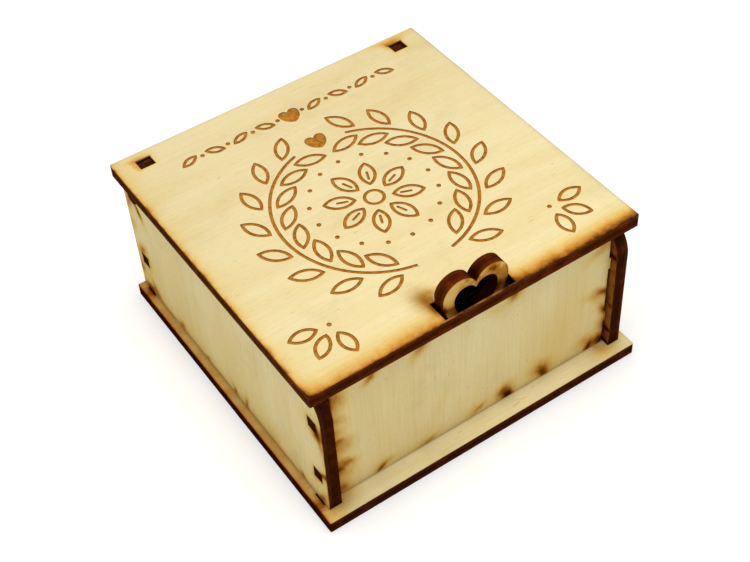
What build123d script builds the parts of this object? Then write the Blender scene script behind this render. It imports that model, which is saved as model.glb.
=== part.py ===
from build123d import *
import math
import os

# Keepsake box of laser-cut plywood: a base plate, four walls joined by tabs and slots, and a
# lid that turns on a hinge rail. A heart on the front wall's top edge stands up through a
# slot in the lid.
# Origin: centre of the base plate's underside. +Z is up and the heart faces -Y. Millimetres.

# Sheet and fits
sheet = 4.0                   # plywood thickness of every piece
slot_gap = 0.05               # gap on each side of a tab in its slot
tab_recess = 0.5              # depth of a tab's end below the face it comes out of
shoulder_gap = 0.6            # gap between a cross wall's end and the side wall

# Body
body_width = 103.2            # over the side walls' outer faces
body_depth = 107.4            # length of the side walls
wall_height = 46.6            # base plate's top to the lid's underside
front_inset = 2.5             # side wall's front end to the front wall's face
rear_inset = 3.0              # side wall's rear end to the back wall's face
front_corner_radius = 10.2    # side wall's upper front corner
rear_corner_radius = 7.0      # side wall's upper rear corner, clear of the turning lid

# Tabs of the front and back walls, in the side walls
tab_height = 4.2
lower_tab_rise = 11.2         # front wall's tabs: their centres above the base plate
upper_tab_rise = 33.2
back_tab_rise = 13.8          # the same for the back wall's tab
foot_tab_length = 4.4         # side wall's tabs down into the base plate
foot_slot_outer_gap = 0.5     # base slot's reach beyond the side wall's outer face

# Base plate
base_side_ledge = 2.6         # reach beyond the side walls
base_front_ledge = 4.0        # reach beyond the side walls' front ends
base_rear_ledge = 0.4         # and beyond their rear ends
base_corner_radius = 0.4

# Lid
lid_side_overhang = 2.4       # beyond the side walls
lid_end_overhang = 0.4        # beyond the side walls' ends
lid_corner_radius = 0.6

# Heart on the front wall and the slot around it
heart_rise = 3.2              # lobes' centres above the lid's top
lobe_radius = 5.5
lobe_offset = 5.1             # lobe's centre from the middle
heart_side_radius = 13.3
window_rise = 1.7             # the same four sizes for the opening in the heart
window_lobe_radius = 3.7
window_lobe_offset = 3.35
window_side_radius = 8.0
slot_front_strip = 0.6        # wood left between the slot and the lid's front edge
slot_rear_gap = 0.9           # behind the heart
slot_side_gap = 1.0           # on each side of the heart

# Hinge rail
pivot_drop = 5.6              # hinge axis below the lid's underside
tongue_height = 4.0           # square end of the rail that turns in the side wall
pivot_gap = 0.08              # from the tongue's corners to the round hole
rail_end_gap = 0.3            # rail's end to the side wall's inner face
rail_back_gap = 0.4           # turning rail to the back wall's top
lid_tab_length = 4.7          # rail's tabs up into the lid
lid_tab_recess = 1.2          # depth of their ends below the lid's top
lid_slot_gap = 0.1

# Engraving in the lid's top
groove_depth = 0.35
groove_width = 1.0
wreath_radius = 29.5
wreath_centre_y = -4.0        # from the lid's middle
wreath_leaf_length = 10.5
wreath_leaf_width = 4.8
wreath_leaf_stations = 8      # pairs of leaves on each branch
wreath_first_angle = -70.0    # first and last pair, from the +X direction
wreath_last_angle = 66.0
leaf_splay = 36.0             # leaf's turn away from its stem
leaf_stem_gap = 1.9           # stem's middle to a leaf's root
petal_count = 8
petal_length = 10.0
petal_width = 5.4
flower_eye_radius = 3.3
flower_petal_start = 5.0
dot_radius = 0.7
dot_ring_radius = 18.6
dot_ring_count = 16
band_y = 41.0                 # row of leaves near the hinge slots, from the lid's middle
band_pitch = 8.6
band_leaf_length = 6.6
band_leaf_width = 3.2
band_leaf_count = 4           # on each side of the band's middle
band_leaf_tilt = 24.0
sprig_inset = 17.5            # corner sprig's dot from the lid's front corner, in X and in Y
sprig_leaf_start = 3.2        # dot's middle to a leaf's root
sprig_leaf_length = 9.0
sprig_splay = 50.0
small_heart_radius = 1.7      # lobe of the solid hearts above the wreath and in the band
small_heart_offset = 1.6
small_heart_side_radius = 4.6

# Places that follow from the sizes above
base_depth = body_depth + base_front_ledge + base_rear_ledge
wall_front_y = -base_depth / 2 + base_front_ledge
wall_rear_y = wall_front_y + body_depth
body_middle_y = (wall_front_y + wall_rear_y) / 2
outer_x = body_width / 2
inner_x = outer_x - sheet
base_top = sheet
lid_low = base_top + wall_height
lid_top = lid_low + sheet
front_y = wall_front_y + front_inset             # front wall's front face
back_y = wall_rear_y - rear_inset - sheet        # back wall's inner face
front_centre_y = front_y + sheet / 2
back_centre_y = back_y + sheet / 2
tab_end_x = outer_x - tab_recess
pivot_y = back_centre_y
pivot_z = lid_low - pivot_drop
pivot_radius = math.hypot(sheet, tongue_height) / 2 + pivot_gap
rail_half = inner_x - rail_end_gap
back_top = pivot_z - math.hypot(sheet, tongue_height) / 2 - rail_back_gap
lid_half_x = outer_x + lid_side_overhang
lid_half_y = body_depth / 2 + lid_end_overhang
lid_front_y = body_middle_y - lid_half_y


def span(x_low, x_high, y_low, y_high):
    """A rectangle between two corners of the sketch plane."""
    middle = Pos((x_low + x_high) / 2, (y_low + y_high) / 2)
    return middle * Rectangle(x_high - x_low, y_high - y_low)


def both_sides(sketch):
    """A sketch together with its mirror image across the middle of the box."""
    return [sketch, mirror(sketch, about=Plane.YZ)]


def flat_sheet(outline, z_low):
    """A lying sheet from an outline in X and Y."""
    return Pos(0, 0, z_low) * extrude(outline, sheet)


def cross_sheet(outline, y_low):
    """A standing sheet from an outline in X and Z that faces the front."""
    return Pos(0, y_low + sheet, 0) * extrude(Plane.XZ * outline, sheet)


def side_sheet(outline, x_low):
    """A standing sheet from an outline in Y and Z that faces the side."""
    return Pos(x_low, 0, 0) * extrude(Plane.YZ * outline, sheet)


def heart(radius, offset, side_radius):
    """A heart of four arcs; the line through its lobes' centres is the X axis."""
    widest = offset + radius
    cleft = Vector(0, math.sqrt(radius**2 - offset**2))
    lobe_half_turn = (math.pi - math.acos(offset / radius)) / 2
    lobe_middle = Vector(offset + radius * math.cos(lobe_half_turn),
                         radius * math.sin(lobe_half_turn))
    side = Vector(widest, 0)
    side_turn = math.acos((side_radius - widest) / side_radius)
    side_middle = Vector(widest - side_radius * (1 - math.cos(side_turn / 2)),
                         -side_radius * math.sin(side_turn / 2))
    tip = Vector(0, -side_radius * math.sin(side_turn))
    lobe_arc = ThreePointArc(cleft, lobe_middle, side)
    side_arc = ThreePointArc(side, side_middle, tip)
    half = [lobe_arc, side_arc]
    return make_face(half + [mirror(arc, about=Plane.YZ) for arc in half])


def base_plate():
    outline = RectangleRounded(body_width + 2 * base_side_ledge, base_depth, base_corner_radius)
    for middle_y in (front_centre_y, back_centre_y):
        reach = foot_tab_length / 2 + slot_gap
        slot = span(inner_x - slot_gap, outer_x + foot_slot_outer_gap,
                    middle_y - reach, middle_y + reach)
        outline -= both_sides(slot)
    return flat_sheet(outline, 0)


def side_wall(x_low):
    outline = span(wall_front_y, wall_rear_y, base_top, lid_low)
    front_top = outline.vertices().group_by(Axis.Y)[-1].sort_by(Axis.X)[0]
    outline = fillet(front_top, front_corner_radius)
    rear_top = outline.vertices().group_by(Axis.Y)[-1].sort_by(Axis.X)[-1]
    outline = fillet(rear_top, rear_corner_radius)

    # Tabs down into the base plate
    for middle_y in (front_centre_y, back_centre_y):
        outline += span(middle_y - foot_tab_length / 2, middle_y + foot_tab_length / 2,
                        tab_recess, base_top)

    # Slots for the cross walls' tabs: two at the front, one at the back
    slot_height = tab_height + 2 * slot_gap
    slot = Rectangle(sheet + 2 * slot_gap, slot_height)
    outline -= Pos(front_centre_y, base_top + lower_tab_rise) * slot
    outline -= Pos(front_centre_y, base_top + upper_tab_rise) * slot
    outline -= Pos(back_centre_y, base_top + back_tab_rise) * slot

    # Round hole in which the hinge rail's tongue turns
    outline -= Pos(pivot_y, pivot_z) * Circle(pivot_radius)
    return side_sheet(outline, x_low)


def wall_tab(rise):
    """A cross wall's tab at one height, from inside the wall out to the side wall's face."""
    middle_z = base_top + rise
    return span(inner_x - sheet, tab_end_x, middle_z - tab_height / 2, middle_z + tab_height / 2)


def front_wall():
    half_length = inner_x - shoulder_gap
    outline = span(-half_length, half_length, base_top, lid_low)
    for rise in (lower_tab_rise, upper_tab_rise):
        outline += both_sides(wall_tab(rise))
    outline += Pos(0, lid_top + heart_rise) * heart(lobe_radius, lobe_offset, heart_side_radius)
    window = heart(window_lobe_radius, window_lobe_offset, window_side_radius)
    outline -= Pos(0, lid_top + window_rise) * window
    return cross_sheet(outline, front_y)


def back_wall():
    half_length = inner_x - shoulder_gap
    outline = span(-half_length, half_length, base_top, back_top)
    outline += both_sides(wall_tab(back_tab_rise))
    return cross_sheet(outline, back_y)


def hinge_rail():
    low = pivot_z - tongue_height / 2
    outline = span(-rail_half, rail_half, low, lid_low)
    outline += span(-tab_end_x, tab_end_x, low, pivot_z + tongue_height / 2)
    outline += both_sides(span(rail_half - lid_tab_length, rail_half,
                               lid_low, lid_top - lid_tab_recess))
    return cross_sheet(outline, back_y)


def lens(length, width):
    """A pointed oval of two arcs from the origin along +X."""
    tip = Vector(length, 0)
    upper = ThreePointArc((0, 0), (length / 2, width / 2), tip)
    lower = ThreePointArc(tip, (length / 2, -width / 2), (0, 0))
    return make_face([upper, lower])


def leaf(length, width):
    """The outline of a pointed oval, one groove wide."""
    bulge = width / 2
    radius = (length**2 / 4 + bulge**2) / (2 * bulge)
    inner_length = 2 * math.sqrt((radius - groove_width)**2 - (radius - bulge)**2)
    inner = lens(inner_length, width - 2 * groove_width)
    return lens(length, width) - Pos((length - inner_length) / 2, 0) * inner


def branch():
    """The wreath's right half: a stem with pairs of leaves, about the wreath's centre."""
    stem_arc = CenterArc((0, 0), wreath_radius, wreath_first_angle - 8,
                         wreath_last_angle - wreath_first_angle + 14)
    motifs = [SlotArc(stem_arc, groove_width)]
    shape = leaf(wreath_leaf_length, wreath_leaf_width)
    step = (wreath_last_angle - wreath_first_angle) / (wreath_leaf_stations - 1)
    for station in range(wreath_leaf_stations):
        angle = wreath_first_angle + step * station
        for side in (-1, 1):
            root = Rot(0, 0, angle) * Pos(wreath_radius - side * leaf_stem_gap, 0)
            motifs.append(root * Rot(0, 0, 90 + side * leaf_splay) * shape)
    return motifs


def flower():
    """A round flower: an eye, petals with a vein each, and a ring of dots."""
    motifs = [Circle(flower_eye_radius) - Circle(flower_eye_radius - groove_width)]
    petal = leaf(petal_length, petal_width)
    vein = Pos(petal_length * 0.42, 0) * SlotOverall(petal_length * 0.36, groove_width * 0.8)
    for number in range(petal_count):
        spoke = Rot(0, 0, 360 * (number + 0.5) / petal_count) * Pos(flower_petal_start, 0)
        motifs += [spoke * petal, spoke * vein]
    for number in range(dot_ring_count):
        motifs.append(Rot(0, 0, 360 * number / dot_ring_count) * Pos(dot_ring_radius, 0)
                      * Circle(dot_radius))
    return motifs


def leaf_band():
    """The band's right half: tilted leaves with a dot before each."""
    motifs = []
    shape = Pos(-band_leaf_length / 2, 0) * leaf(band_leaf_length, band_leaf_width)
    for number in range(1, band_leaf_count + 1):
        tilt = band_leaf_tilt if number % 2 else -band_leaf_tilt
        motifs.append(Pos(number * band_pitch, band_y) * Rot(0, 0, tilt) * shape)
        motifs.append(Pos((number - 0.5) * band_pitch, band_y) * Circle(dot_radius))
    return motifs


def corner_sprig():
    """Three leaves that point at the lid's right front corner."""
    shape = leaf(sprig_leaf_length, wreath_leaf_width)
    root = Pos(lid_half_x - sprig_inset, sprig_inset - lid_half_y) * Rot(0, 0, -45)
    motifs = [root * Circle(dot_radius)]
    for splay in (-sprig_splay, 0, sprig_splay):
        motifs.append(root * Rot(0, 0, splay) * Pos(sprig_leaf_start, 0) * shape)
    return motifs


def engraving():
    """Every motif about the lid's middle, as separate flat shapes that don't touch."""
    centre = Pos(0, wreath_centre_y)
    motifs = [centre * motif for motif in branch()]
    motifs += corner_sprig()
    motifs += leaf_band()
    motifs += [mirror(motif, about=Plane.YZ) for motif in motifs]
    motifs += [centre * motif for motif in flower()]
    small_heart = heart(small_heart_radius, small_heart_offset, small_heart_side_radius)
    motifs.append(centre * Pos(0, wreath_radius + small_heart_radius) * small_heart)
    motifs.append(Pos(0, band_y + small_heart_radius / 2) * small_heart)
    return motifs


def lid_panel():
    middle = Pos(0, body_middle_y)
    outline = middle * RectangleRounded(2 * lid_half_x, 2 * lid_half_y, lid_corner_radius)
    slot_half = lobe_offset + lobe_radius + slot_side_gap
    outline -= span(-slot_half, slot_half,
                    lid_front_y + slot_front_strip, front_y + sheet + slot_rear_gap)
    hinge_slot = span(rail_half - lid_tab_length - lid_slot_gap, rail_half + lid_slot_gap,
                      back_y - lid_slot_gap, back_y + sheet + lid_slot_gap)
    outline -= both_sides(hinge_slot)
    top = Pos(0, body_middle_y, lid_top)
    grooves = [extrude(top * motif, -groove_depth) for motif in engraving()]
    return flat_sheet(outline, lid_low) - grooves


nodes = {
    "base_plate": base_plate(),
    "left_wall": side_wall(-outer_x),
    "right_wall": side_wall(inner_x),
    "front_wall": front_wall(),
    "back_wall": back_wall(),
    "hinge_rail": hinge_rail(),
    "lid_panel": lid_panel(),
}

os.makedirs("parts", exist_ok=True)
for name, shape in nodes.items():
    export_step(shape, f"parts/{name}.step")
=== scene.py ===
import bpy
import math

from mathutils import Euler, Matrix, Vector


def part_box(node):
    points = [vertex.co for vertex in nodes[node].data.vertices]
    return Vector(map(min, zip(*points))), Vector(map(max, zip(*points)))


# Keepsake box of laser-cut birch plywood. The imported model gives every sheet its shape; this
# script gives the sheets their wood, their burnt edges and marks, and lights and frames them.
# Scene lengths are metres. Inside the materials every length is in millimetres.

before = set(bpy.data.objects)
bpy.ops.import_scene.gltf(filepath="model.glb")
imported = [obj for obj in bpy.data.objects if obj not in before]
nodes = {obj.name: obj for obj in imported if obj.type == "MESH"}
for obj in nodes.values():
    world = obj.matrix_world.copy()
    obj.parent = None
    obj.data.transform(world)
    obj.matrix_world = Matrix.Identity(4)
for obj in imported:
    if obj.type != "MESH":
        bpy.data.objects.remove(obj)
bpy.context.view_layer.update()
MM = 1000.0

# Sizes of the box that the materials follow, in millimetres. Rises go up from the base plate's
# top or, for the heart, from the lid's top. The pivot's drop goes down from the lid's underside.
SHEET = 4.0
GROOVE_DEPTH = 0.35
TAB_HEIGHT = 4.2
LOWER_TAB_RISE = 11.2
UPPER_TAB_RISE = 33.2
BACK_TAB_RISE = 13.8
PIVOT_DROP = 5.6
PIVOT_RADIUS = 2.9
SHOULDER_GAP = 0.6
FOOT_TAB_LENGTH = 4.4
FOOT_GAP_HALF = 0.6
LID_TAB_LENGTH = 4.7
RAIL_END_GAP = 0.3
SLOT_SIDE_GAP = 1.0
SLOT_FRONT_STRIP = 0.6
SLOT_REAR_GAP = 0.9
HEART_RISE = 3.2
LOBE_RADIUS = 5.5
LOBE_OFFSET = 5.1
HEART_SIDE_RADIUS = 13.3
WINDOW_RISE = 1.7
WINDOW_LOBE_RADIUS = 3.7
WINDOW_LOBE_OFFSET = 3.35
WINDOW_SIDE_RADIUS = 8.0


def box_mm(node):
    """A CAD node's lowest and highest corner in millimetres."""
    low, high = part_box(node)
    return Vector(low) * MM, Vector(high) * MM


# Places that the materials follow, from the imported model
base_low, base_high = box_mm("base_plate")
wall_low, wall_high = box_mm("left_wall")
panel_low, panel_high = box_mm("front_wall")
back_low, back_high = box_mm("back_wall")
lid_low, lid_high = box_mm("lid_panel")
base_top = base_high.z
lid_middle_y = (lid_low.y + lid_high.y) / 2
front_plane_y = (panel_low.y + panel_high.y) / 2
back_plane_y = (back_low.y + back_high.y) / 2
outer_x = -wall_low.x
inner_x = -wall_high.x
side_plane_x = (outer_x + inner_x) / 2
panel_half = inner_x - SHOULDER_GAP
slot_half = LOBE_OFFSET + LOBE_RADIUS + SLOT_SIDE_GAP
slot_front = lid_low.y + SLOT_FRONT_STRIP
slot_rear = panel_high.y + SLOT_REAR_GAP


# ---------------------------------------------------------------- node arithmetic

class Number:
    """A number that varies over a surface: an output socket with arithmetic."""

    def __init__(self, socket):
        self.socket = socket

    def math(self, operation, *others):
        node = self.socket.node.id_data.nodes.new("ShaderNodeMath")
        node.operation = operation
        for entry, value in zip(node.inputs, (self, *others)):
            feed(entry, value)
        return Number(node.outputs[0])

    def __add__(self, other):
        return self.math("ADD", other)

    def __sub__(self, other):
        return self.math("SUBTRACT", other)

    def __mul__(self, other):
        return self.math("MULTIPLY", other)

    def __truediv__(self, other):
        return self.math("DIVIDE", other)

    def __neg__(self):
        return self * -1.0

    def __rsub__(self, other):
        return -self + other

    def __abs__(self):
        return self.math("ABSOLUTE")

    def at_least(self, other):
        return self.math("MAXIMUM", other)

    def at_most(self, other):
        return self.math("MINIMUM", other)

    def above(self, other):
        """1 where the number is greater than the other one, 0 elsewhere."""
        return self.math("GREATER_THAN", other)

    def below(self, other):
        """1 where the number is less than the other one, 0 elsewhere."""
        return self.math("LESS_THAN", other)

    def exp(self):
        return self.math("EXPONENT")

    def root(self):
        return self.math("SQRT")

    def clamped(self):
        return self.at_least(0.0).at_most(1.0)

    def rise(self, start, end):
        """0 below start, 1 above end and smooth between them."""
        node = self.socket.node.id_data.nodes.new("ShaderNodeMapRange")
        node.interpolation_type = "SMOOTHSTEP"
        feed(node.inputs["Value"], self)
        node.inputs["From Min"].default_value = start
        node.inputs["From Max"].default_value = end
        return Number(node.outputs["Result"])

    def fall(self, start, end):
        """1 below start, 0 above end and smooth between them."""
        return 1.0 - self.rise(start, end)


def feed(entry, value):
    """Gives a node's input a number, a colour or another node's output."""
    if isinstance(value, Number):
        value = value.socket
    if isinstance(value, bpy.types.NodeSocket):
        entry.id_data.links.new(entry, value)
    else:
        entry.default_value = value


def sum_of(values):
    return sum(values[1:], values[0])


def length(u, v):
    return (u * u + v * v).root()


def box_gap(u, v, middle_u, middle_v, half_u, half_v):
    """Distance from a point outside a rectangle to it, and 0 inside."""
    over_u = (abs(u - middle_u) - half_u).at_least(0.0)
    over_v = (abs(v - middle_v) - half_v).at_least(0.0)
    return length(over_u, over_v)


def fade(distance, reach):
    """1 where the distance is 0 or below it, falling off over the reach."""
    return (distance.at_least(0.0) * (-1.0 / reach)).exp()


# How much of a surface's normal lies along an axis where the surface starts to count as facing
# that way, and where it counts in full
FACING = (0.55, 0.75)
FACING_UP = (0.5, 0.8)


def facing(normal):
    """1 where the surface faces along this component's axis, either way, 0 across the axis."""
    return abs(normal).rise(*FACING)


def facing_up(normal):
    """1 where the surface faces up this component's axis, 0 where it faces elsewhere."""
    return normal.rise(*FACING_UP)


def display(red, green, blue):
    """A colour given as it shows on screen, 0 to 255, in the renderer's linear values."""
    def linear(value):
        value /= 255.0
        return value / 12.92 if value <= 0.04045 else ((value + 0.055) / 1.055) ** 2.4
    return (linear(red), linear(green), linear(blue), 1.0)


# Direction in which a noise is shifted, so that no two look alike
NOISE_SHIFT = Vector((1.0, 1.7, 2.3))

# Places of the colour sockets on Blender's Mix node
MIX_FIRST = 6
MIX_SECOND = 7
MIX_RESULT = 2


class Paint:
    """One material's node tree with the surface's coordinates in millimetres."""

    def __init__(self, name):
        self.material = bpy.data.materials.new(name)
        self.material.use_nodes = True
        self.tree = self.material.node_tree
        self.tree.nodes.clear()
        self.coordinates = self.add("ShaderNodeTexCoord")
        scale = self.add("ShaderNodeVectorMath")
        scale.operation = "SCALE"
        feed(scale.inputs[0], self.coordinates.outputs["Object"])
        scale.inputs["Scale"].default_value = MM
        self.point = scale.outputs[0]
        self.x, self.y, self.z = self.split(self.point)
        self.normal_x, self.normal_y, self.normal_z = self.split(
            self.coordinates.outputs["Normal"])

    def add(self, kind):
        return self.tree.nodes.new(kind)

    def split(self, vector):
        node = self.add("ShaderNodeSeparateXYZ")
        feed(node.inputs[0], vector)
        return [Number(output) for output in node.outputs]

    def noise(self, spacing, detail=2.0, roughness=0.5, shift=0.0, distortion=0.0):
        """Noise from 0 to 1 whose blobs are about as long as the spacing along X, Y and Z."""
        mapping = self.add("ShaderNodeMapping")
        feed(mapping.inputs["Vector"], self.point)
        mapping.inputs["Scale"].default_value = [1.0 / step for step in spacing]
        mapping.inputs["Location"].default_value = NOISE_SHIFT * shift
        texture = self.add("ShaderNodeTexNoise")
        feed(texture.inputs["Vector"], mapping.outputs[0])
        texture.inputs["Scale"].default_value = 1.0
        texture.inputs["Detail"].default_value = detail
        texture.inputs["Roughness"].default_value = roughness
        texture.inputs["Distortion"].default_value = distortion
        return Number(texture.outputs[0])

    def mix(self, factor, first, second, kind="MIX"):
        """The first colour, with the second laid over it as far as the factor says."""
        node = self.add("ShaderNodeMix")
        node.data_type = "RGBA"
        node.blend_type = kind
        feed(node.inputs["Factor"], factor)
        feed(node.inputs[MIX_FIRST], first)
        feed(node.inputs[MIX_SECOND], second)
        return node.outputs[MIX_RESULT]

    def layered(self, colour, layers):
        """The colour with others laid over it. A layer has a number that varies, that number's
        values where the layer starts and where it is full, the layer's strength and its colour."""
        for number, start, full, strength, shade in layers:
            colour = self.mix(number.rise(start, full) * strength, colour, shade)
        return colour

    def tinted(self, colour, layers):
        """The colour multiplied by each layer's tint, as far as the layer's amount says."""
        for tint, amount in layers:
            colour = self.mix(amount, colour, tint, kind="MULTIPLY")
        return colour

    def ramp(self, value, stops):
        node = self.add("ShaderNodeValToRGB")
        feed(node.inputs[0], value)
        elements = node.color_ramp.elements
        for place, shade in stops[2:]:
            elements.new(place)
        for element, (place, shade) in zip(elements, stops):
            element.position = place
            element.color = shade
        return node.outputs["Color"]

    def show(self, shader):
        """Ends the material with this shader."""
        output = self.add("ShaderNodeOutputMaterial")
        feed(output.inputs["Surface"], shader.outputs[0])


# ---------------------------------------------------------------- plywood

ALONG_X, ALONG_Y, ALONG_Z = 0, 1, 2
WHITE = (1.0, 1.0, 1.0, 1.0)

FACE_PALE = display(254, 241, 191)
FACE_WARM = display(249, 231, 174)
GRAIN_TINT = display(226, 198, 134)
FLECK_TINT = display(176, 144, 96)
SMUDGE_TINT = display(222, 206, 148)
CUT_CORE = display(56, 24, 9)
CUT_PLY = display(74, 36, 14)
CUT_WARM = display(100, 46, 20)
# The lighter rim of a cut surface along the faces: the outer veneer's edge with a painted
# highlight
CUT_RIM_WITH_HIGHLIGHT = display(128, 84, 42)
# Near black for soot and painted shade on cut surfaces inside the slots and the heart's window
SOOT_AND_SHADE = display(10, 4, 2)
GROOVE_FLOOR = display(196, 134, 54)
GROOVE_DEEP = display(160, 100, 34)
GROOVE_WALL = display(206, 146, 66)

# Laser strokes across a cut surface and fibres along the grain, with their relief, in millimetres
STROKE_LENGTH = 3.0
STROKE_WIDTH = 0.16
STROKE_RELIEF = 0.10
FIBRE_LENGTH = 9.0
FIBRE_WIDTH = 0.35
FIBRE_RELIEF = 0.035
BUMP_STRENGTH = 0.6

# Roughness, what noise adds to it at most, and how much lower it is on a cut surface
ROUGHNESS = 0.55
ROUGHNESS_SPREAD = 0.14
CUT_ROUGHNESS_DROP = 0.12

# Noise multiplies each scorch: by the least value, and by up to the spread more
SCORCH_LEAST = 0.6
SCORCH_SPREAD = 0.8

# What a scorch does to the wood under it: light amber first, then brown, then almost black.
# The walls' scorches are duller than those on the lid.
CHARRED = (0.06, 0.020, 0.008, 1.0)
WALL_STEPS = [
    (0.0, WHITE),
    (0.12, (0.975, 0.92, 0.75, 1.0)),
    (0.28, (0.89, 0.77, 0.53, 1.0)),
    (0.42, (0.80, 0.60, 0.335, 1.0)),
    (0.60, (0.575, 0.32, 0.10, 1.0)),
    (0.80, (0.27, 0.10, 0.016, 1.0)),
    (1.0, CHARRED),
]
LID_STEPS = [
    (0.0, WHITE),
    (0.12, (0.99, 0.92, 0.75, 1.0)),
    (0.28, (0.93, 0.77, 0.48, 1.0)),
    (0.42, (0.875, 0.60, 0.24, 1.0)),
    (0.60, (0.65, 0.32, 0.072, 1.0)),
    (0.80, (0.28, 0.105, 0.022, 1.0)),
    (1.0, CHARRED),
]


def stretched(axis, along, across):
    """Noise spacing that has one length along an axis and another across it."""
    return [along if each == axis else across for each in (ALONG_X, ALONG_Y, ALONG_Z)]


def face_colour(paint, grain, streakiness):
    """Pale birch veneer: warm bands, smudges, fine streaks, a faint mottle and dark pores."""
    bands = paint.noise(stretched(grain, 70.0, 11.0), detail=3.0, shift=3.1, distortion=0.4)
    streaks = paint.noise(stretched(grain, 20.0, 0.60), detail=4.0, roughness=0.62, shift=7.7)
    pores = paint.noise(stretched(grain, 2.4, 0.20), detail=2.0, shift=12.9)
    mottle = paint.noise(stretched(grain, 1.8, 0.7), detail=3.0, roughness=0.7, shift=61.0)
    dashes = paint.noise(stretched(grain, 3.2, 0.42), detail=1.0, shift=17.3)
    smudges = paint.noise((15.0, 15.0, 15.0), detail=5.0, roughness=0.62, shift=51.0)
    return paint.layered(FACE_PALE, [
        (bands, 0.34, 0.70, 1.0, FACE_WARM),
        (smudges, 0.50, 0.78, 0.35, SMUDGE_TINT),
        (streaks, 0.42, 0.80, streakiness, GRAIN_TINT),
        (mottle, 0.46, 0.76, 0.20, GRAIN_TINT),
        (pores, 0.66, 0.80, 0.22, FLECK_TINT),
        (dashes, 0.74, 0.80, 0.5, FLECK_TINT),
    ])


def cut_colour(paint, strokes, depth):
    """Burnt cut surface: three plies that burn differently, crossed by fine laser strokes, with a
    lighter rim along the faces that is partly painted highlight.
    """
    blotches = paint.noise((4.0, 4.0, 4.0), detail=3.0, shift=21.0)
    waver = paint.noise((9.0, 9.0, 9.0), detail=2.0, shift=27.0)
    return paint.layered(CUT_CORE, [
        (depth + waver * 0.5, 0.85, 1.35, 1.0, CUT_PLY),
        (blotches, 0.46, 0.72, 0.6, CUT_WARM),
        (strokes, 0.40, 0.80, 0.5, CUT_CORE),
        (depth, 1.66, 1.94, blotches.rise(0.40, 0.58) * 0.8, CUT_RIM_WITH_HIGHLIGHT),
    ])


def plywood(name, thickness_axis, grain, middle, scorch, streakiness=0.3, soot_and_shade=None, stain=None,
            steps=WALL_STEPS):
    """Plywood whose sheet is thin along one axis.

    scorch(paint) says how burnt each place on the faces is, and the next function which cut
    surfaces get soot and painted shade, dark where they lie in shade in slots and windows.
    stain(paint, colour) may change the colour once more, also with painted shade and sheen. The
    steps turn a scorch's strength into a colour.
    """
    paint = Paint(name)
    normals = (paint.normal_x, paint.normal_y, paint.normal_z)
    places = (paint.x, paint.y, paint.z)
    is_cut = 1.0 - facing(normals[thickness_axis])
    depth = abs(places[thickness_axis] - middle)

    strokes = paint.noise(stretched(thickness_axis, STROKE_LENGTH, STROKE_WIDTH), detail=3.0,
                          roughness=0.6, shift=1.3)
    cut = cut_colour(paint, strokes, depth)
    # Soot and painted shade on the cut surfaces inside slots and the heart's window
    if soot_and_shade:
        cut = paint.mix(soot_and_shade(paint), cut, SOOT_AND_SHADE)

    uneven = paint.noise((2.4, 2.4, 2.4), detail=3.0, roughness=0.6, shift=33.0)
    burn = (scorch(paint) * (uneven * SCORCH_SPREAD + SCORCH_LEAST)).clamped()
    face = face_colour(paint, grain, streakiness)
    face = paint.mix(1.0, face, paint.ramp(burn, steps), kind="MULTIPLY")
    colour = paint.mix(is_cut, face, cut)
    if stain:
        colour = stain(paint, colour)

    roughness = uneven * ROUGHNESS_SPREAD + ROUGHNESS - is_cut * CUT_ROUGHNESS_DROP
    fibres = paint.noise(stretched(grain, FIBRE_LENGTH, FIBRE_WIDTH), detail=3.0, roughness=0.6,
                         shift=5.5)
    relief = fibres * FIBRE_RELIEF + is_cut * strokes * STROKE_RELIEF
    paint.show(matte_shader(paint, colour, roughness, relief))
    return paint.material


def matte_shader(paint, colour, roughness, relief):
    """A surface without gloss, whose relief is in millimetres."""
    shader = paint.add("ShaderNodeBsdfPrincipled")
    feed(shader.inputs["Base Color"], colour)
    feed(shader.inputs["Roughness"], roughness)
    shader.inputs["Specular IOR Level"].default_value = 0.0
    bump = paint.add("ShaderNodeBump")
    bump.inputs["Strength"].default_value = BUMP_STRENGTH
    bump.inputs["Distance"].default_value = 1.0 / MM
    feed(bump.inputs["Height"], relief)
    feed(shader.inputs["Normal"], bump.outputs[0])
    return shader


def patch(u, v, middle_u, middle_v, reach_u, reach_v, strength, lean=0.0):
    """A soft scorched patch. With a lean it shifts along u as v grows."""
    over_u, over_v = u - middle_u, v - middle_v
    if lean:
        over_u = over_u - over_v * lean
    over_u, over_v = over_u / reach_u, over_v / reach_v
    return (-(over_u * over_u) - over_v * over_v).exp() * strength


def patches(u, v, rows):
    """Soft scorched patches. A row has a patch's middle, its reach each way, its strength and,
    where it leans, its lean."""
    return sum_of([patch(u, v, *row) for row in rows])


def edge_burn(vary, distance, reach, strength, more=0.0):
    """Scorch along a cut edge. Where vary is high, more is added to its strength."""
    if more:
        strength = vary * more + strength
    return fade(distance, reach) * strength


def edge_burns(vary, rows):
    """Scorch along cut edges. A row has the distance to the edge, the burn's reach, its strength
    and, where that varies, how much more it can be."""
    return sum_of([edge_burn(vary, *row) for row in rows])


def shaken(paint, value, amount, shift, spacing=(2.2, 2.2, 2.2)):
    """The coordinate shaken by noise, so that scorches get ragged outlines."""
    shake = paint.noise(spacing, detail=4.0, roughness=0.65, shift=shift)
    return value + (shake - 0.5) * amount


def wander(paint, spacing, shift):
    """Slow noise from 0 to 1 that makes a scorch stronger here and weaker there."""
    return paint.noise((spacing, spacing, spacing), detail=3.0, shift=shift).rise(0.30, 0.72)
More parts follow.
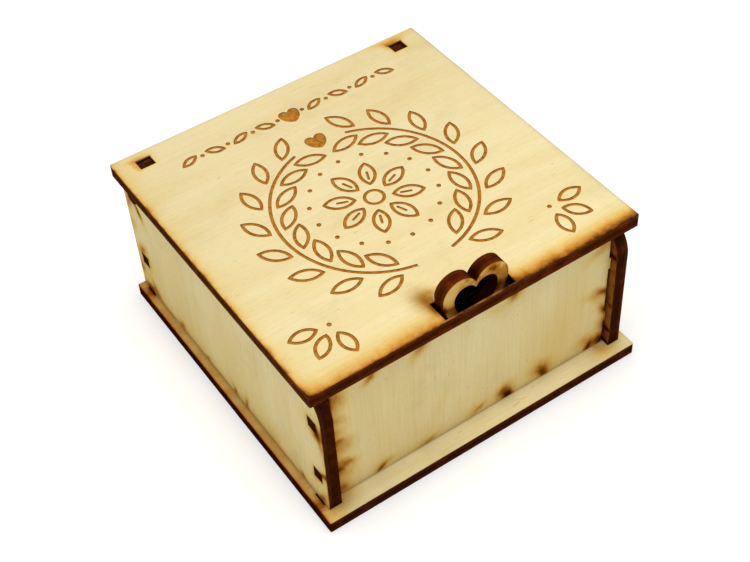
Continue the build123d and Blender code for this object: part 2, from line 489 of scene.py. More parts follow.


# ---------------------------------------------------------------- marks on each sheet

# Flashback marks of the laser, as rows for patches, in millimetres of the sheet's face.
# Negative strengths make a place paler.
FRONT_MARKS = [
    # along the bottom: x, z, reach in x and z
    (-33.1, 5.0, 1.5, 1.5, 0.67, 0.6),
    (-31.1, 6.8, 3.6, 1.6, 0.36, 0.3),
    (-18.8, 5.3, 4.7, 2.5, 0.18, 0.2),
    (-16.3, 4.9, 1.9, 1.4, 0.38, 1.2),
    (-1.2, 6.7, 2.4, 3.2, 0.17, 0.4),
    (1.4, 6.4, 1.8, 1.5, 0.51, 0.9),
    (11.9, 4.4, 2.1, 2.2, 0.90),
    (10.2, 7.5, 3.1, 3.1, 0.70, 0.1),
    (25.0, 4.9, 2.1, 2.5, 0.72, -0.2),
    (23.6, 8.4, 3.8, 3.4, 0.56, -0.2),
    (41.5, 4.7, 1.5, 2.1, 0.60, 0.3),
    (41.5, 7.8, 3.7, 3.6, 0.52, -0.3),
    (46.5, 5.8, 2.7, 2.7, 0.86),
    # along the right edge
    (45.8, 26.8, 2.0, 2.3, 0.66, -0.9),
    (43.0, 26.0, 3.2, 2.7, 0.34, -1.0),
    (46.5, 18.9, 1.8, 3.5, 0.52, -0.5),
    (46.6, 12.7, 2.4, 2.8, 0.43),
    # along the left edge
    (-44.9, 44.5, 3.4, 5.0, 0.52, -0.1),
    (-44.7, 35.7, 2.7, 2.7, 0.33, -0.7),
    (-45.4, 31.0, 2.6, 2.3, 0.37, -0.4),
    (-43.8, 24.3, 3.4, 3.4, 0.45, 0.1),
    (-45.7, 27.2, 2.0, 1.5, 0.40, -0.2),
    (-43.5, 16.8, 2.7, 2.6, 0.52, -0.7),
    (-45.7, 15.1, 1.6, 1.8, 0.48, -0.1),
    (-44.4, 12.5, 3.7, 3.0, 0.36),
    (-45.2, 6.3, 2.7, 3.2, 0.52, -0.1),
    # below the lid
    (-34.5, 45.1, 2.0, 1.7, 0.58, 0.6),
    (-32.4, 48.6, 2.0, 2.4, 0.60, 0.6),
    (-17.7, 46.7, 2.7, 4.3, 0.54, 0.6),
    (13.1, 45.9, 2.6, 2.4, 0.54, 0.2),
    (13.8, 49.4, 2.0, 2.4, 0.60, 0.2),
    (6.8, 44.7, 3.5, 3.3, 0.20, -0.7),
    (44.6, 45.7, 4.2, 3.8, 0.44, 0.8),
    # broad stains
    (30.4, 20.6, 11.5, 16.0, 0.09, 0.3),
    (-30.0, 18.9, 3.9, 12.6, 0.08, 0.2),
    (-12.5, 17.7, 2.3, 8.8, 0.08, 0.4),
]
SIDE_MARKS = [
    # along the bottom: y, z, reach in y and z
    (-38.3, 5.3, 1.4, 1.4, 0.52, 0.1),
    (-22.8, 7.2, 3.7, 5.5, 0.20, -0.1),
    (-8.0, 6.4, 1.2, 4.2, 0.54, -0.2),
    (-1.2, 4.8, 1.4, 1.6, 0.46, -0.3),
    (-1.2, 6.8, 1.5, 1.9, 0.32, 0.5),
    (14.9, 5.0, 1.1, 1.4, 0.46, -0.4),
    (30.6, 5.7, 2.0, 2.3, 0.52, -0.3),
    (46.9, 7.6, 2.6, 3.8, 0.48, 0.4),
    (51.5, 4.9, 3.7, 2.3, 0.76, -0.2),
    (-48.2, 5.1, 2.0, 2.0, 0.46, -0.4),
    # round the slots for the front wall
    (-47.3, 37.6, 4.7, 5.2, 0.30, -0.2),
    (-49.0, 34.6, 2.5, 3.1, 0.52, -0.3),
    (-50.5, 31.3, 1.2, 4.4, 0.36),
    (-50.4, 17.7, 1.6, 1.9, 0.58, -0.6),
    (-46.4, 14.0, 2.2, 3.6, 0.44, -0.2),
    (-49.7, 7.9, 1.6, 2.2, 0.26, -0.4),
    # round the slot for the back wall
    (50.0, 19.2, 4.3, 5.0, 0.44),
    (51.5, 22.2, 2.5, 3.4, 0.26, -1.0),
    (54.4, 12.3, 2.4, 3.7, 0.46),
    (47.6, 40.8, 1.5, 2.4, 0.64, 0.4),
    (46.8, 39.0, 2.0, 2.6, 0.34, 0.3),
    (53.5, 40.7, 2.0, 3.6, 0.54, -0.2),
    (53.6, 31.4, 2.4, 3.8, 0.32, -0.3),
]
BACK_MARKS = [
    # along the bottom: x, z, reach in x and z
    (-38.0, 5.0, 1.2, 2.2, 0.70),
    (-37.0, 7.4, 2.4, 3.0, 0.42, 0.3),
    (-21.0, 5.2, 1.3, 2.4, 0.80, -0.3),
    (-19.6, 7.6, 2.8, 3.2, 0.42),
    (6.0, 5.0, 1.0, 1.8, 0.55, 0.6),
    (17.0, 5.2, 3.0, 1.6, 0.22),
    (29.0, 5.2, 1.2, 2.2, 0.80),
    (27.4, 7.8, 2.8, 3.2, 0.50, -0.2),
]
HEART_MARKS = [
    # on the right lobe: x, height above the lid, reach in both
    (7.6, 5.6, 4.4, 3.2, 0.42),
    (6.4, 6.9, 1.2, 1.0, 0.22),
    (4.8, 7.4, 1.5, 1.5, 0.30),
    (9.2, 1.4, 2.2, 1.6, 0.16),
    # painted highlight: a paler spot on the right lobe
    (8.9, 6.8, 1.2, 1.0, -0.26),
    # in and below the cleft
    (0.6, 5.8, 2.6, 1.8, 0.38),
    (0.0, 6.7, 0.8, 0.8, 0.60),
    # painted shade: near black where the heart stands in the lid's slot
    (0.0, -1.0, 5.0, 1.4, 0.9),
    # on the left lobe
    (-4.2, 6.2, 2.6, 2.2, 0.22),
    (-10.3, 0.6, 0.8, 1.4, 0.50),
    (-2.8, 7.8, 0.9, 0.9, 0.35),
]
LID_MARKS = [
    # smoke left of the heart's slot: x, y, reach in x and y
    (-11.8, -42.4, 2.8, 2.8, 0.30),
    (-11.9, -46.6, 1.3, 2.4, 0.50),
    (-9.6, -41.0, 3.0, 1.6, 0.16),
    (-8.6, -41.4, 1.8, 1.8, 0.14),
    # behind and beside the hinge rail's slots
    (-46.5, 53.3, 3.6, 1.2, 0.34),
    (-48.2, 50.6, 0.9, 2.6, 0.34),
    (-51.0, 48.0, 2.4, 5.0, 0.08),
    (44.0, 54.4, 7.0, 1.3, 0.34),
    (42.2, 52.2, 1.4, 1.6, 0.34),
    (45.0, 53.2, 3.2, 0.9, 0.30),
    # along the left edge
    (-54.0, 30.0, 1.6, 3.6, 0.16),
    (-54.0, 8.0, 1.4, 3.0, 0.12),
    (-54.0, -1.0, 1.6, 2.6, 0.14),
    (-54.0, -14.0, 1.4, 2.6, 0.12),
    (-54.0, -33.0, 1.3, 2.6, 0.24),
    (-54.0, -41.0, 1.2, 2.2, 0.20),
]
BASE_MARKS = [
    # beside the side walls' feet: x, y, reach in x and y
    (-46.6, -50.4, 4.6, 3.6, 0.36),
    (-53.4, -49.6, 1.6, 2.6, 0.42),
    (-51.0, -53.6, 4.6, 2.6, 0.22),
    (45.0, -50.2, 2.8, 3.4, 0.40),
    (48.0, -52.6, 5.0, 1.6, 0.16),
    (-52.8, 50.4, 1.6, 3.0, 0.40),
    # scratches on the front ledge
    (12.0, -53.2, 0.30, 0.5, 0.60, 3.5),
    (15.0, -52.8, 0.26, 0.4, 0.55, -3.0),
    (-26.0, -54.2, 0.26, 0.4, 0.40, 3.0),
    (-9.0, -53.0, 0.24, 0.3, 0.36, -3.5),
]

# Burnt ticks on the strip of side wall in front of the front wall: height and strength of each,
# then their distance behind the wall's front end, their reach each way and their lean
NOOK_TICKS = [(4.6, 1.0), (10.4, 0.95), (20.8, 0.62), (34.0, 0.30), (40.4, 0.95)]
NOOK_TICK_DEPTH = 1.4
NOOK_TICK_REACH = (2.4, 1.2)
NOOK_TICK_LEAN = 0.5

# Smoke beside the heart and the base plate's amber corner, as rows for patches
SMOKE = (-11.4, -43.4, 3.4, 5.0, 1.0, -0.15)
AMBER_CORNER = (46.0, -52.0, 4.5, 5.0, 0.6)

# Noise spacing that shakes the walls' scorches into upright streaks
SIDE_SHAKE = (1.4, 1.4, 4.0)
PANEL_SHAKE = (1.0, 1.0, 4.0)

# Reach of the brown band along the lid's front edge, and how much paler the slot's strip is
FRONT_GLOW_REACH = 4.1
STRIP_PALER = 0.11

# Margins of the masks that find the hinge rail's slots, the engraving and the lid's rim
SLOT_MARGIN = 0.1
GROOVE_MARGIN = 0.05
RIM_MARGIN = 0.2

# Bands over which a mask rises or falls, in millimetres
LID_EDGE_BAND = (0.3, 0.5)  # in from the lid's front or left edge
LID_BACK_BAND = (-46.0, 52.0)  # along y
LID_LEFT_BAND = (-66.0, -20.0)  # along x
GLOW_BAND = (-60.0, 20.0)  # along x
SLOT_SOOT_AND_SHADE_BAND = (0.2, 0.3)  # out from the heart's slot
STRIP_FRONT_BAND = (-0.05, 0.05)  # back from the slot's front
STRIP_END_BAND = (0.0, 1.5)  # out from the slot's ends
LEDGE_BAND = (2.2, 5.0)  # in from the base plate's sides
AMBER_BAND = (2.0, 9.0)  # in from the base plate's left side
FRONT_LEDGE_BAND = (-14.0, 8.0)  # along x
WALL_FRONT_BAND = (-1.0, 3.0)  # back from the side walls' front ends
FOOT_BAND = (-0.3, 0.0)  # up from the base plate's top
LOW_SIDE_BAND = (-8.0, 44.0)  # up from the base plate's top
LOW_FRONT_BAND = (-4.0, 38.0)  # up from the base plate's top
END_PLY_BAND = (1.0, 1.8)  # out from a side wall's inner face
NOOK_BAND = (-0.4, 0.0)  # back from the front wall's rear face
NOOK_DARK_BAND = (-1.3, 0.4)  # back from the front wall's front face
WINDOW_BAND = (0.3, 0.8)  # from the outline of the heart's window

# The black spot in the heart's cleft: distance to the right, height above the lid and reach
CLEFT_X = 0.2
CLEFT_HEIGHT = 6.6
CLEFT_REACH = 1.9

# Tints multiply the colours under them. First those of the lid
LID_TINT = (0.985, 0.955, 0.905, 1.0)
# Painted shade: the lid darker towards its rear and its left
LID_FAR_SHADE_TINT = (0.885, 0.87, 0.88, 1.0)
LID_FRONT_EDGE_TINT = (1.45, 1.25, 1.10, 1.0)
# Painted sheen: the lid's left cut edge lighter and greyer
LID_LEFT_EDGE_SHEEN_TINT = (1.80, 2.20, 2.60, 1.0)
FAR_RIM_TINT = (0.66, 0.72, 0.88, 1.0)
STRIP_TINT = (1.0, 1.14, 2.6, 1.0)
SMOKE_TINT = (0.42, 0.28, 0.14, 1.0)
# The base plate, and painted shade along the contact lines on it and on the walls
# Smoke and painted shade on the ledges beside the side walls
LEDGE_SMOKE_AND_SHADE_TINT = display(204, 166, 98)
FRONT_LEDGE_TINT = (0.92, 0.93, 0.95, 1.0)
AMBER_TINT = (1.0, 0.82, 0.50, 1.0)
CONTACT_SHADE_TINT = (0.55, 0.53, 0.50, 1.0)
# The side walls
SIDE_TINT = (1.0, 0.985, 0.94, 1.0)
# Painted shade: the side walls' outer faces darker and yellower low down
LOW_SIDE_SHADE_TINT = (0.88, 0.82, 0.66, 1.0)
END_PLY_TINT = (0.72, 0.55, 0.45, 1.0)
# Smoke and painted shade on the inner strip in front of the front wall, deepest in the gap
NOOK_SMOKE_AND_SHADE_TINT = (0.30, 0.135, 0.055, 1.0)
NOOK_SPOT_TINT = (0.50, 0.42, 0.36, 1.0)
# The front and back walls, and the heart
FRONT_TINT = (0.985, 0.95, 0.85, 1.0)
# Painted shade: the front and back walls darker low down
LOW_FRONT_SHADE_TINT = (0.94, 0.90, 0.83, 1.0)
FRONT_AMBER_TINT = (1.13, 0.88, 0.50, 1.0)
HEART_TINT = (1.06, 0.97, 0.79, 1.0)
# Painted sheen: the heart's upper cut surfaces lighter and redder
HEART_RIM_SHEEN_TINT = (1.50, 1.25, 1.15, 1.0)
CLEFT_TINT = (0.26, 0.18, 0.30, 1.0)
WINDOW_WALL_TINT = (7.6, 2.5, 5.0, 1.0)


def heart_slot_gap(paint):
    """Distance on the lid to the heart's slot."""
    return box_gap(paint.x, paint.y, 0.0, (slot_front + slot_rear) / 2,
                   slot_half, (slot_rear - slot_front) / 2)


def hinge_slot_gap(paint):
    """Distance on the lid to the nearer of the hinge rail's two slots."""
    middle_x = inner_x - RAIL_END_GAP - LID_TAB_LENGTH / 2
    return box_gap(abs(paint.x), paint.y, middle_x, back_plane_y,
                   LID_TAB_LENGTH / 2 + SLOT_MARGIN, SHEET / 2 + SLOT_MARGIN)


def slot_strip(paint):
    """1 on the thin strip of lid in front of the heart's slot."""
    before_slot = (paint.y - slot_front).fall(*STRIP_FRONT_BAND)
    return before_slot * (abs(paint.x) - slot_half).fall(*STRIP_END_BAND)


def front_glow(paint, y):
    """The brown band along the lid's front edge, weaker towards the left."""
    near = (y - lid_low.y).at_least(0.0) / FRONT_GLOW_REACH
    return (-(near * near)).exp() * (paint.x.rise(*GLOW_BAND) * 0.25 + 0.40)


def lid_scorch(paint):
    x = shaken(paint, paint.x, amount=1.2, shift=71.0)
    y = shaken(paint, paint.y, amount=1.2, shift=73.0)
    left = x - lid_low.x
    vary = wander(paint, spacing=13.0, shift=9.0)
    return sum_of([
        patches(x, y, LID_MARKS),
        front_glow(paint, y) * (vary * 0.20 + 0.88),
        slot_strip(paint) * -STRIP_PALER,
        edge_burns(vary, [
            (y - lid_low.y, 8.0, 0.07),
            (paint.y - lid_low.y, 0.45, 0.36),
            (left, 3.0, 0.15),
            (left, 1.1, 0.16, 0.16),
            (left, 0.3, 0.2),
            (lid_high.x - x, 0.35, 0.04),
            (lid_high.y - y, 0.4, 0.10),
            (heart_slot_gap(paint), 0.7, 0.10, 0.20),
            (hinge_slot_gap(paint), 0.5, 0.34),
        ]),
    ])


def lid_slot_soot_and_shade(paint):
    """Soot and painted shade: 1 on the heart's slot's cut surfaces, 0 on the lid's outer edges."""
    return heart_slot_gap(paint).fall(*SLOT_SOOT_AND_SHADE_BAND)


def lid_stain(paint, colour):
    """Smoke beside the heart, painted shade towards the rear and the left, a lighter front cut
    edge, painted sheen on the left cut edge, grey rims at the far edges, a greyer strip before
    the slot, and the engraving."""
    x = shaken(paint, paint.x, amount=2.2, shift=91.0)
    y = shaken(paint, paint.y, amount=2.2, shift=93.0)
    far = paint.y.rise(*LID_BACK_BAND) * 0.85 + paint.x.fall(*LID_LEFT_BAND) * 0.45
    front_edge = facing_up(-paint.normal_y) * (paint.y - lid_low.y).fall(*LID_EDGE_BAND)
    left_edge = facing_up(-paint.normal_x) * (paint.x - lid_low.x).fall(*LID_EDGE_BAND)
    far_rims = fade(lid_high.x - paint.x, 0.45) * 0.9 + fade(lid_high.y - paint.y, 0.5) * 0.4
    flat = facing(paint.normal_z)
    colour = paint.tinted(colour, [
        (LID_TINT, 1.0),
        # painted shade towards the rear and the left
        (LID_FAR_SHADE_TINT, far),
        (SMOKE_TINT, patch(x, y, *SMOKE)),
        (LID_FRONT_EDGE_TINT, front_edge),
        # painted sheen on the left cut edge
        (LID_LEFT_EDGE_SHEEN_TINT, left_edge),
        (FAR_RIM_TINT, far_rims * flat),
        (STRIP_TINT, slot_strip(paint) * flat),
    ])
    return engraved(paint, colour)


def engraved(paint, colour):
    """Amber in the engraved lines, uneven on their floor and lighter on their walls."""
    depth = lid_high.z - paint.z
    at_depth = depth.rise(GROOVE_DEPTH * 0.15, GROOVE_DEPTH * 0.5)
    in_groove = at_depth * depth.below(GROOVE_DEPTH + GROOVE_MARGIN)
    inside_x = abs(paint.x).below(lid_high.x - RIM_MARGIN)
    inside_y = abs(paint.y - lid_middle_y).below(lid_high.y - lid_middle_y - RIM_MARGIN)
    uneven = paint.noise((1.1, 1.1, 1.1), detail=3.0, shift=41.0)
    groove = paint.mix(uneven.rise(0.35, 0.70), GROOVE_FLOOR, GROOVE_DEEP)
    groove = paint.mix(facing(paint.normal_z), GROOVE_WALL, groove)
    return paint.mix(in_groove * inside_x * inside_y, colour, groove)


def foot_gap(paint, middle_y):
    """Distance on the base plate to the gap beside a side wall's foot tab."""
    return box_gap(abs(paint.x), paint.y, outer_x, middle_y, FOOT_GAP_HALF, FOOT_TAB_LENGTH / 2)


def wall_gap(paint):
    """Distance on the base plate to the nearest wall."""
    side = box_gap(abs(paint.x), paint.y, side_plane_x, (wall_low.y + wall_high.y) / 2,
                   SHEET / 2, (wall_high.y - wall_low.y) / 2)
    front = box_gap(paint.x, paint.y, 0.0, front_plane_y, inner_x, SHEET / 2)
    back = box_gap(paint.x, paint.y, 0.0, back_plane_y, inner_x, SHEET / 2)
    return side.at_most(front).at_most(back)


def base_scorch(paint):
    x = shaken(paint, paint.x, amount=1.2, shift=95.0)
    y = shaken(paint, paint.y, amount=1.2, shift=97.0)
    foot = foot_gap(paint, front_plane_y).at_most(foot_gap(paint, back_plane_y))
    return patches(x, y, BASE_MARKS) + edge_burns(wander(paint, spacing=9.0, shift=15.0), [
        (paint.y - base_low.y, 0.4, 0.05, 0.24),
        (base_high.y - paint.y, 0.6, 0.4),
        (base_high.x - abs(paint.x), 0.4, 0.25),
        (paint.x - base_low.x, 0.4, 0.60),
        (foot, 0.7, 0.45),
    ])


def base_stain(paint, colour):
    """Smoke and painted shade on the ledges beside the side walls, strongest on the left, amber
    front corners, a greyer left half of the front ledge, and painted shade along the contact
    lines."""
    left = paint.x - base_low.x
    right = base_high.x - paint.x
    vary = wander(paint, spacing=6.0, shift=19.0)
    behind = (paint.y - wall_low.y).rise(*WALL_FRONT_BAND)
    before = 1.0 - behind
    left_ledge = left.fall(*LEDGE_BAND) * (vary * 0.25 + 0.68)
    right_ledge = right.fall(*LEDGE_BAND) * (vary * 0.35 + 0.15)
    corners = left.fall(*AMBER_BAND) + patch(paint.x, paint.y, *AMBER_CORNER)
    gap = wall_gap(paint)
    return paint.tinted(colour, [
        # smoke and painted shade on the ledges
        (LEDGE_SMOKE_AND_SHADE_TINT, (left_ledge + right_ledge) * behind),
        (FRONT_LEDGE_TINT, paint.x.fall(*FRONT_LEDGE_BAND) * before),
        (AMBER_TINT, corners * before),
        # painted shade along the walls' feet
        (CONTACT_SHADE_TINT, fade(gap, 0.25) * 0.8 + fade(gap, 2.2) * 0.22),
    ])


def is_inner(paint):
    """1 on the half of a side wall's thickness that faces into the box."""
    return abs(paint.x).below(side_plane_x)


def side_slot_gap(paint):
    """Distance on a side wall to the nearest slot for another wall's tab."""
    lower, upper, back = [
        box_gap(paint.y, paint.z, plane, base_top + rise, SHEET / 2, TAB_HEIGHT / 2)
        for plane, rise in ((front_plane_y, LOWER_TAB_RISE), (front_plane_y, UPPER_TAB_RISE),
                            (back_plane_y, BACK_TAB_RISE))
    ]
    return lower.at_most(upper).at_most(back)


def nook_marks():
    """The burnt ticks in front of the front wall, as rows for patches."""
    middle = wall_low.y + NOOK_TICK_DEPTH
    return [(middle, height, *NOOK_TICK_REACH, strength, NOOK_TICK_LEAN)
            for height, strength in NOOK_TICKS]


def side_scorch(paint):
    y = shaken(paint, paint.y, amount=1.0, shift=75.0)
    z = shaken(paint, paint.z, amount=1.4, shift=77.0, spacing=SIDE_SHAKE)
    front = paint.y - wall_low.y
    hole = length(paint.y - back_plane_y, paint.z - (lid_low.z - PIVOT_DROP)) - PIVOT_RADIUS
    vary = wander(paint, spacing=7.0, shift=25.0)
    outside = patches(y, z, SIDE_MARKS) + edge_burns(vary, [
        (front, 0.5, 0.10, 0.25),
        (front, 1.6, 0.18, 0.10),
        (z - base_top, 3.6, 0.09, 0.10),
    ])
    inside = patches(y, z, nook_marks())
    both = edge_burns(vary, [
        (wall_high.y - paint.y, 0.5, 0.30, 0.20),
        (wall_high.z - paint.z, 0.4, 0.2),
        (side_slot_gap(paint), 0.45, 0.20, 0.3),
        (hole, 0.9, 0.4),
    ])
    # Painted shade: the foot tabs down in the base plate's slots are darkened like char
    shaded_feet = (paint.z - base_top).fall(*FOOT_BAND) * 1.5
    inner = is_inner(paint)
    return outside * (1.0 - inner) + inside * inner + both + shaded_feet


def side_stain(paint, colour):
    """Painted shade low down and at the contact lines, a darker ply on the front end, and smoke
    with painted shade on the inner strip in front of the front wall, darkest beside it."""
    inner = is_inner(paint)
    height = paint.z - base_top
    low = height.fall(*LOW_SIDE_BAND) * (1.0 - inner)
    end_ply = facing_up(-paint.normal_y) * (abs(paint.x) - inner_x).fall(*END_PLY_BAND)
    nook = inner * facing(paint.normal_x) * (paint.y - panel_high.y).fall(*NOOK_BAND)
    near_panel = (paint.y - panel_low.y).rise(*NOOK_DARK_BAND) * 0.6
    spots = paint.noise((2.6, 2.6, 2.6), detail=3.0, roughness=0.6, shift=45.0).rise(0.40, 0.66)
    return paint.tinted(colour, [
        (SIDE_TINT, 1.0),
        # painted shade low down
        (LOW_SIDE_SHADE_TINT, low),
        # painted shade along the contact with the base plate
        (CONTACT_SHADE_TINT, fade(height, 0.8) * 0.7),
        (END_PLY_TINT, end_ply),
        # smoke and painted shade in the nook, deeper beside the front wall
        (NOOK_SMOKE_AND_SHADE_TINT, nook),
        (NOOK_SMOKE_AND_SHADE_TINT, nook * near_panel),
        (NOOK_SPOT_TINT, nook * spots * 0.8),
    ])


def heart_gap(paint, rise, lobe_radius, lobe_offset, side_radius):
    """Signed distance to a heart's outline on the front wall, below 0 inside it."""
    across = abs(paint.x)
    height = paint.z - (lid_high.z + rise)
    side_middle = lobe_offset + lobe_radius - side_radius
    lobe = length(across - lobe_offset, height) - lobe_radius
    side = length(across - side_middle, height) - side_radius
    upper = height.above(0.0)
    return lobe * upper + side * (1.0 - upper)


def window_gap(paint):
    """Signed distance to the outline of the heart's window."""
    return heart_gap(paint, WINDOW_RISE, WINDOW_LOBE_RADIUS, WINDOW_LOBE_OFFSET,
                     WINDOW_SIDE_RADIUS)


def window_soot_and_shade(paint):
    """Soot and painted shade: 1 on the cut surface in the heart's window, 0 on the sheet's other
    cut surfaces.
    """
    return abs(window_gap(paint)).fall(*WINDOW_BAND)


def heart_scorch(paint, x, above_lid, vary):
    """The heart is scorched all over, browner low down and on its right lobe, with a painted
    highlight on the right lobe and painted shade where it stands in the lid's slot.
    """
    inside = -heart_gap(paint, HEART_RISE, LOBE_RADIUS, LOBE_OFFSET, HEART_SIDE_RADIUS)
    burns = edge_burns(vary, [
        (above_lid, 2.0, 0.50),
        (inside, 0.5, 0.05, 0.2),
        (window_gap(paint), 0.5, 0.10, 0.20),
    ])
    return patches(x, above_lid, HEART_MARKS) + burns + (vary * 0.06 + 0.14)


def front_scorch(paint):
    x = shaken(paint, paint.x, amount=1.1, shift=81.0)
    z = shaken(paint, paint.z, amount=1.6, shift=83.0, spacing=PANEL_SHAKE)
    left = x + panel_half
    right = panel_half - x
    vary = wander(paint, spacing=7.0, shift=29.0)
    panel = patches(x, z, FRONT_MARKS) + edge_burns(vary, [
        (left, 0.7, 0.46, 0.20),
        (left, 0.3, 0.16),
        (left, 2.6, 0.02, 0.10),
        (right, 0.5, 0.10, 0.20),
        (right, 2.0, 0.10),
        (lid_low.z - paint.z, 0.4, 0.2),
    ])
    on_panel = paint.z.below(lid_low.z + 0.2)
    heart = heart_scorch(paint, x, z - lid_high.z, vary)
    return panel * on_panel + heart * (1.0 - on_panel)


def panel_stain(paint, colour):
    """Amber along the left edge, painted shade low down and along the contact line."""
    height = paint.z - base_top
    return paint.tinted(colour, [
        (FRONT_TINT, 1.0),
        (FRONT_AMBER_TINT, fade(paint.x + panel_half, 2.6) * 0.8),
        # painted shade low down
        (LOW_FRONT_SHADE_TINT, height.fall(*LOW_FRONT_BAND)),
        # painted shade along the contact with the base plate
        (CONTACT_SHADE_TINT, fade(height, 2.6) * 0.45 + fade(height, 0.5) * 0.35),
    ])


def front_stain(paint, colour):
    """The panel's stain and painted shade, and on the heart a warmer face, reddish cut surfaces
    with painted sheen, a black cleft and a redder wall on the right inside its window."""
    above_lid = paint.z - lid_high.z
    is_cut = 1.0 - facing(paint.normal_y)
    rim = is_cut * above_lid.rise(0.0, 0.3) * window_gap(paint).rise(*WINDOW_BAND)
    cleft = fade(length(paint.x - CLEFT_X, above_lid - CLEFT_HEIGHT), CLEFT_REACH) * 1.4
    return paint.tinted(panel_stain(paint, colour), [
        (HEART_TINT, paint.z.rise(lid_low.z, lid_low.z + 0.2)),
        # painted sheen on the heart's upper cut surfaces
        (HEART_RIM_SHEEN_TINT, rim),
        (CLEFT_TINT, rim * cleft),
        (WINDOW_WALL_TINT, window_soot_and_shade(paint) * (-paint.normal_x).rise(0.2, 0.7)),
    ])


def back_scorch(paint):
    x = shaken(paint, paint.x, amount=1.1, shift=85.0)
    z = shaken(paint, paint.z, amount=1.6, shift=87.0, spacing=PANEL_SHAKE)
    ends = panel_half - abs(paint.x)
    return patches(x, z, BACK_MARKS) + edge_burns(wander(paint, spacing=7.0, shift=55.0), [
        (ends, 0.7, 0.12, 0.4),
        (ends, 2.6, 0.0, 0.2),
        (z - base_top, 4.2, 0.10, 0.12),
        (back_high.z - paint.z, 0.6, 0.1, 0.4),
    ])


def rail_scorch(paint):
    rail_low = lid_low.z - PIVOT_DROP - SHEET / 2
    return edge_burns(wander(paint, spacing=7.0, shift=65.0), [
        (paint.z - rail_low, 0.7, 0.2, 0.5),
        (lid_low.z - paint.z, 0.5, 0.2),
    ])


def dress():
    """Gives each CAD sheet its own plywood."""
    base_middle = base_low.z + SHEET / 2
    lid_middle = lid_low.z + SHEET / 2
    coats = {
        "base_plate": plywood("base_plywood", ALONG_Z, ALONG_X, base_middle, base_scorch,
                              stain=base_stain),
        "left_wall": plywood("left_plywood", ALONG_X, ALONG_Z, -side_plane_x, side_scorch,
                             stain=side_stain),
        "right_wall": plywood("right_plywood", ALONG_X, ALONG_Z, side_plane_x, side_scorch,
                              stain=side_stain),
        "front_wall": plywood("front_plywood", ALONG_Y, ALONG_Z, front_plane_y, front_scorch,
                              soot_and_shade=window_soot_and_shade, stain=front_stain),
        "back_wall": plywood("back_plywood", ALONG_Y, ALONG_Z, back_plane_y, back_scorch,
                             stain=panel_stain),
        "hinge_rail": plywood("rail_plywood", ALONG_Y, ALONG_X, back_plane_y, rail_scorch),
        "lid_panel": plywood("lid_plywood", ALONG_Z, ALONG_X, lid_middle, lid_scorch,
                             streakiness=0.24, soot_and_shade=lid_slot_soot_and_shade, stain=lid_stain,
                             steps=LID_STEPS),
    }
    for node, coat in coats.items():
        set_material(nodes[node], coat)


def set_material(piece, material):
    piece.data.materials.clear()
    piece.data.materials.append(material)


# ---------------------------------------------------------------- studio

CAMERA_TARGET = Vector((-3.3, -4.8, 24.5)) / MM
CAMERA_AZIMUTH = math.radians(-31.52)
CAMERA_ELEVATION = math.radians(46.48)
CAMERA_ROLL = math.radians(3.96)
CAMERA_DISTANCE = 416.7 / MM
CAMERA_LENS = 67.87
CAMERA_SENSOR = 36.0
CAMERA_CLIP_START = 0.01

WORLD_LEVEL = 0.46

FLOOR_HALF = 2.0
FLOOR_COLOUR = (0.86, 0.86, 0.86, 1.0)
# How much the floor's picture is lifted towards white near the box and far from it, and the
# distances in millimetres between which that changes
NEAR_LIFT = 0.32
FAR_LIFT = 0.75
LIFT_START = 150.0
LIFT_END = 750.0

LAMP_PLACE = Vector((-0.05, -0.06, 0.95))
LAMP_AIM = Vector((0.0, 0.0, 0.03))
LAMP_SIZE = 0.8
LAMP_POWER = 5.5


def add_to_scene(name, data):
    thing = bpy.data.objects.new(name, data)
    bpy.context.scene.collection.objects.link(thing)
    return thing


def studio_camera():
    """The photograph's viewing angle: from the front left, above, slightly rolled."""
    data = bpy.data.cameras.new("camera")
    data.lens = CAMERA_LENS
    data.sensor_width = CAMERA_SENSOR
    data.clip_start = CAMERA_CLIP_START
    camera = add_to_scene("camera", data)
    outward = Vector((math.sin(CAMERA_AZIMUTH) * math.cos(CAMERA_ELEVATION),
                      -math.cos(CAMERA_AZIMUTH) * math.cos(CAMERA_ELEVATION),
                      math.sin(CAMERA_ELEVATION)))
    camera.location = CAMERA_TARGET + outward * CAMERA_DISTANCE
    level = (-outward).to_track_quat("-Z", "Y")
    roll = Euler((0.0, 0.0, -CAMERA_ROLL)).to_quaternion()
    camera.rotation_euler = (level @ roll).to_euler()
    bpy.context.scene.camera = camera


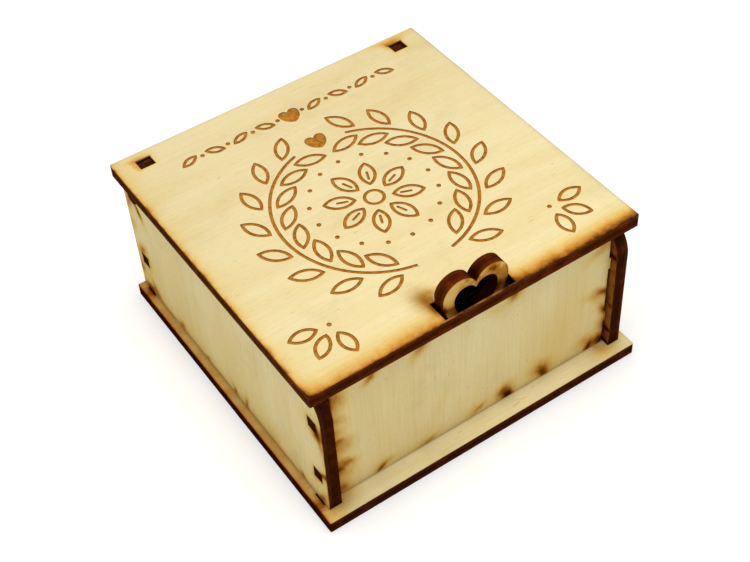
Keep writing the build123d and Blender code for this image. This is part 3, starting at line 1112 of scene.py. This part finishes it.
def seen_directly(tree):
    """1 for camera, glossy and transmission rays, which see the background, 0 for others."""
    path = tree.nodes.new("ShaderNodeLightPath")
    seen = Number(path.outputs["Is Camera Ray"])
    for ray in ("Is Glossy Ray", "Is Transmission Ray"):
        seen = seen.at_least(Number(path.outputs[ray]))
    return seen


def studio_world():
    """Even light from all round, which the camera sees as white."""
    world = bpy.data.worlds.new("studio")
    bpy.context.scene.world = world
    world.use_nodes = True
    tree = world.node_tree
    tree.nodes.clear()
    background = tree.nodes.new("ShaderNodeBackground")
    background.inputs["Color"].default_value = WHITE
    feed(background.inputs["Strength"], seen_directly(tree) * (1.0 - WORLD_LEVEL) + WORLD_LEVEL)
    output = tree.nodes.new("ShaderNodeOutputWorld")
    feed(output.inputs["Surface"], background.outputs[0])


def floor_material():
    paint = Paint("floor")
    matte = paint.add("ShaderNodeBsdfDiffuse")
    matte.inputs["Color"].default_value = FLOOR_COLOUR
    away = length(paint.x, paint.y).rise(LIFT_START, LIFT_END)
    lift = away * (FAR_LIFT - NEAR_LIFT) + NEAR_LIFT
    glow = paint.add("ShaderNodeEmission")
    feed(glow.inputs["Strength"], seen_directly(paint.tree) * lift)
    both = paint.add("ShaderNodeAddShader")
    feed(both.inputs[0], matte.outputs[0])
    feed(both.inputs[1], glow.outputs[0])
    paint.show(both)
    return paint.material


def studio_floor():
    """A pale floor that keeps the box's shadow and shows white further away."""
    mesh = bpy.data.meshes.new("floor")
    corners = [(-FLOOR_HALF, -FLOOR_HALF, 0), (FLOOR_HALF, -FLOOR_HALF, 0),
               (FLOOR_HALF, FLOOR_HALF, 0), (-FLOOR_HALF, FLOOR_HALF, 0)]
    mesh.from_pydata(corners, [], [(0, 1, 2, 3)])
    mesh.materials.append(floor_material())
    floor = add_to_scene("floor", mesh)


def studio_lamp():
    """A square soft lamp above the box, slightly to the front left."""
    data = bpy.data.lights.new("overhead", "AREA")
    data.shape = "SQUARE"
    data.size = LAMP_SIZE
    data.energy = LAMP_POWER
    lamp = add_to_scene("overhead", data)
    lamp.location = LAMP_PLACE
    lamp.rotation_euler = (LAMP_AIM - LAMP_PLACE).to_track_quat("-Z", "Y").to_euler()


dress()
studio_camera()
studio_world()
studio_floor()
studio_lamp()
bpy.context.scene.view_settings.view_transform = "Standard"
